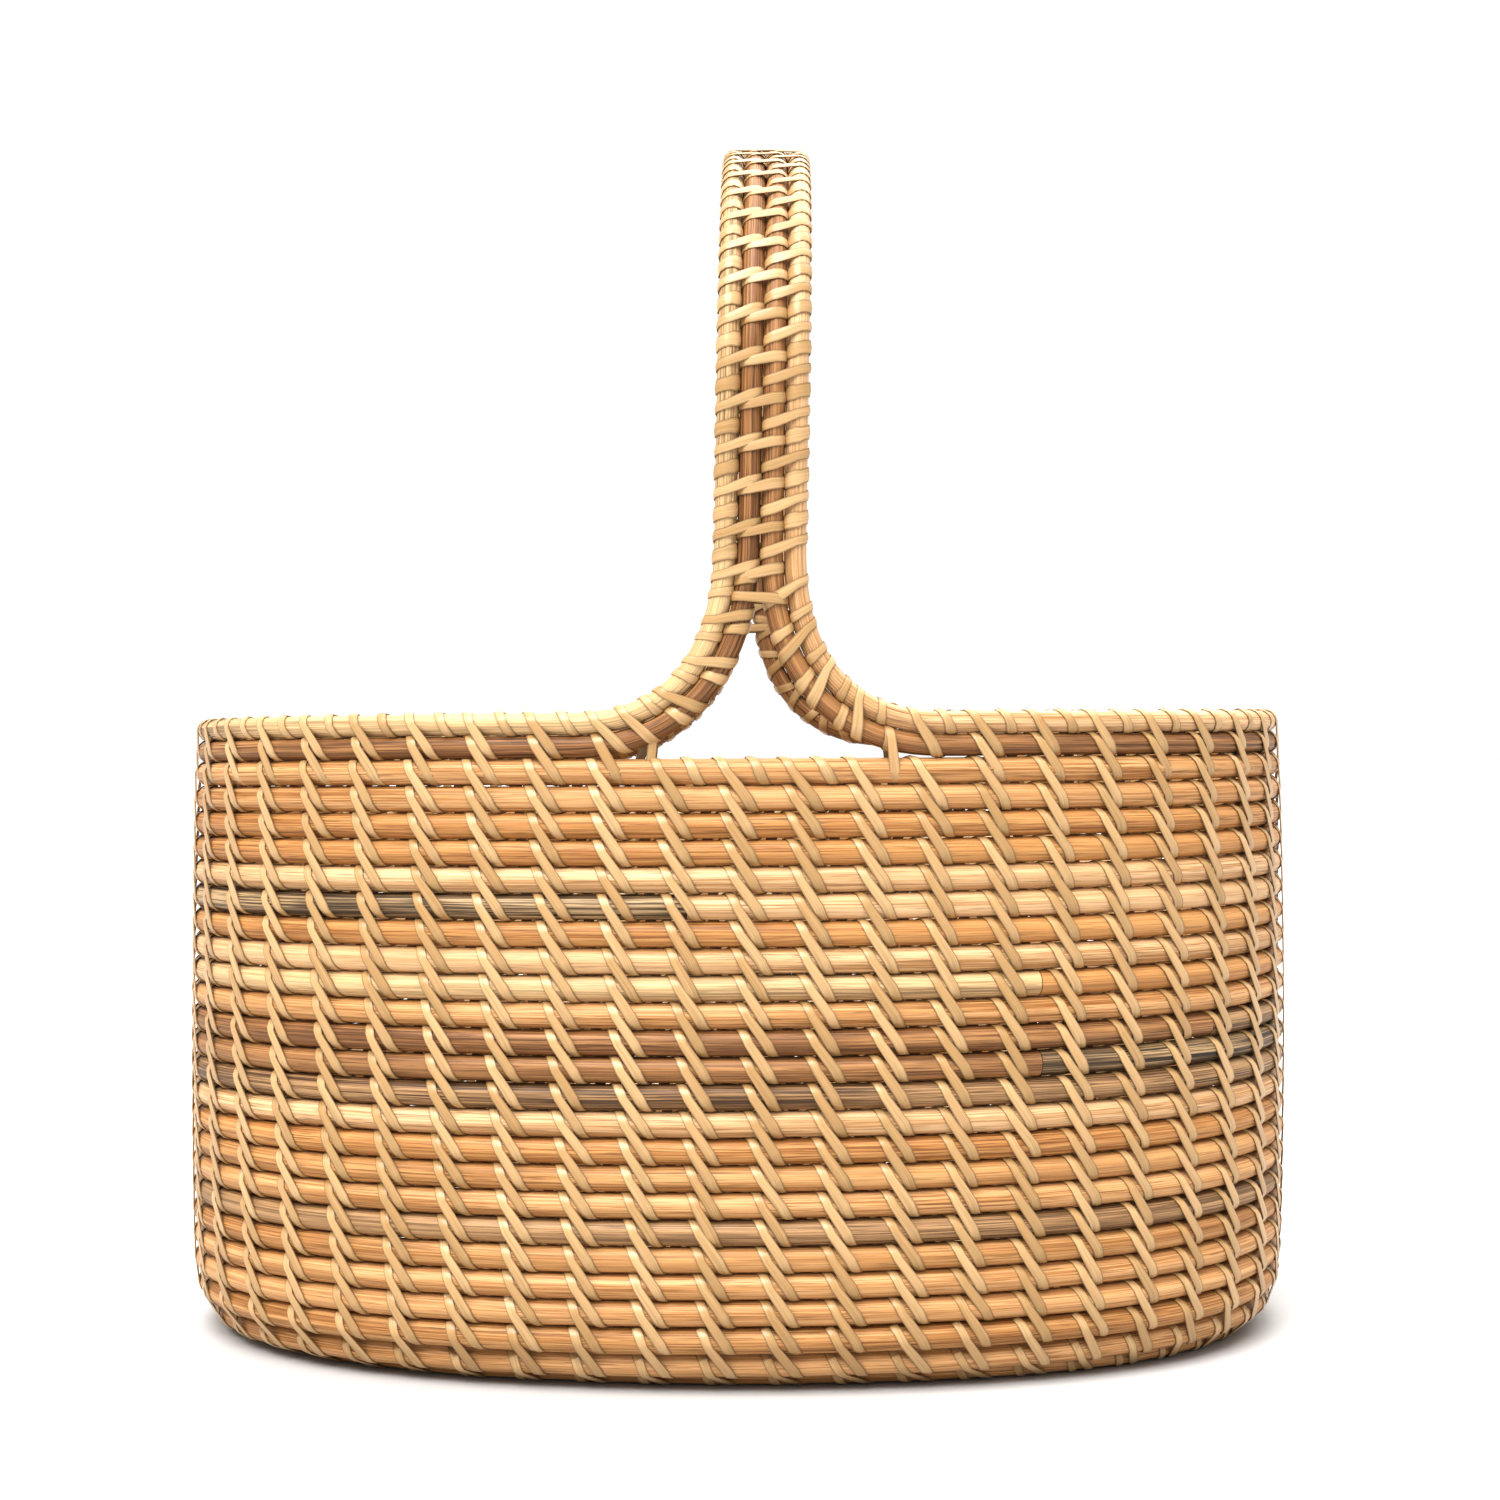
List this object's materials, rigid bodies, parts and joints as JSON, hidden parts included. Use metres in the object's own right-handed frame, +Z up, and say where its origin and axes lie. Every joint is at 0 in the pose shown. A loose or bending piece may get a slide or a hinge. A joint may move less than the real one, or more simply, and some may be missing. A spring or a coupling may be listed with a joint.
{
  "type": "woven fruit basket",
  "caption": "Oval fruit basket coiled from round rattan cane and lashed with split cane, with a tall arched carrying handle grown out of its rim.",
  "frame": {"origin": "on the surface that the basket stands on, under the middle of its oval plan", "axes": "+X along the long way of the oval, -Y to the front, +Z up; the handle arches over the basket in the Y-Z plane"},
  "size_m": [0.38, 0.236, 0.4043],
  "materials": {
    "tan_cane": "peeled rattan cane, golden tan, satin",
    "pale_cane": "peeled rattan cane, pale straw, satin",
    "brown_cane": "rattan cane with reddish brown skin, satin",
    "grey_cane": "rattan cane with dark grey-brown streaks, satin",
    "split_cane": "flat split cane with its shiny skin outwards"
  },
  "bodies": {
    "root": {"base_core_cane": "tan_cane", "base_cane_1": "tan_cane", "base_cane_2": "tan_cane", "base_cane_3": "tan_cane", "base_cane_4": "tan_cane", "base_cane_5": "tan_cane", "base_cane_6": "tan_cane", "wall_cane_01": "tan_cane", "wall_cane_02": "tan_cane", "wall_cane_03": "tan_cane", "wall_cane_04": "tan_cane", "wall_cane_05": "tan_cane", "wall_cane_06": "grey_cane", "wall_cane_07": "tan_cane", "wall_cane_08": "tan_cane", "wall_cane_09": "tan_cane", "wall_cane_10": "pale_cane", "wall_cane_11": "grey_cane", "wall_cane_12": "brown_cane", "wall_cane_13": "grey_cane", "wall_cane_14": "brown_cane", "wall_cane_15": "grey_cane", "wall_cane_16": "tan_cane", "wall_cane_17": "pale_cane", "wall_cane_18": "tan_cane", "wall_cane_19": "pale_cane", "wall_cane_20": "tan_cane", "wall_cane_21": "grey_cane", "wall_cane_22": "pale_cane", "wall_cane_23": "tan_cane", "wall_cane_24": "tan_cane", "wall_cane_25": "tan_cane", "left_outer_handle_cane": "pale_cane", "left_inner_handle_cane": "brown_cane", "right_inner_handle_cane": "brown_cane", "right_outer_handle_cane": "pale_cane", "front_crotch_tie": "split_cane", "back_crotch_tie": "split_cane"}
  },
  "joints": []
}
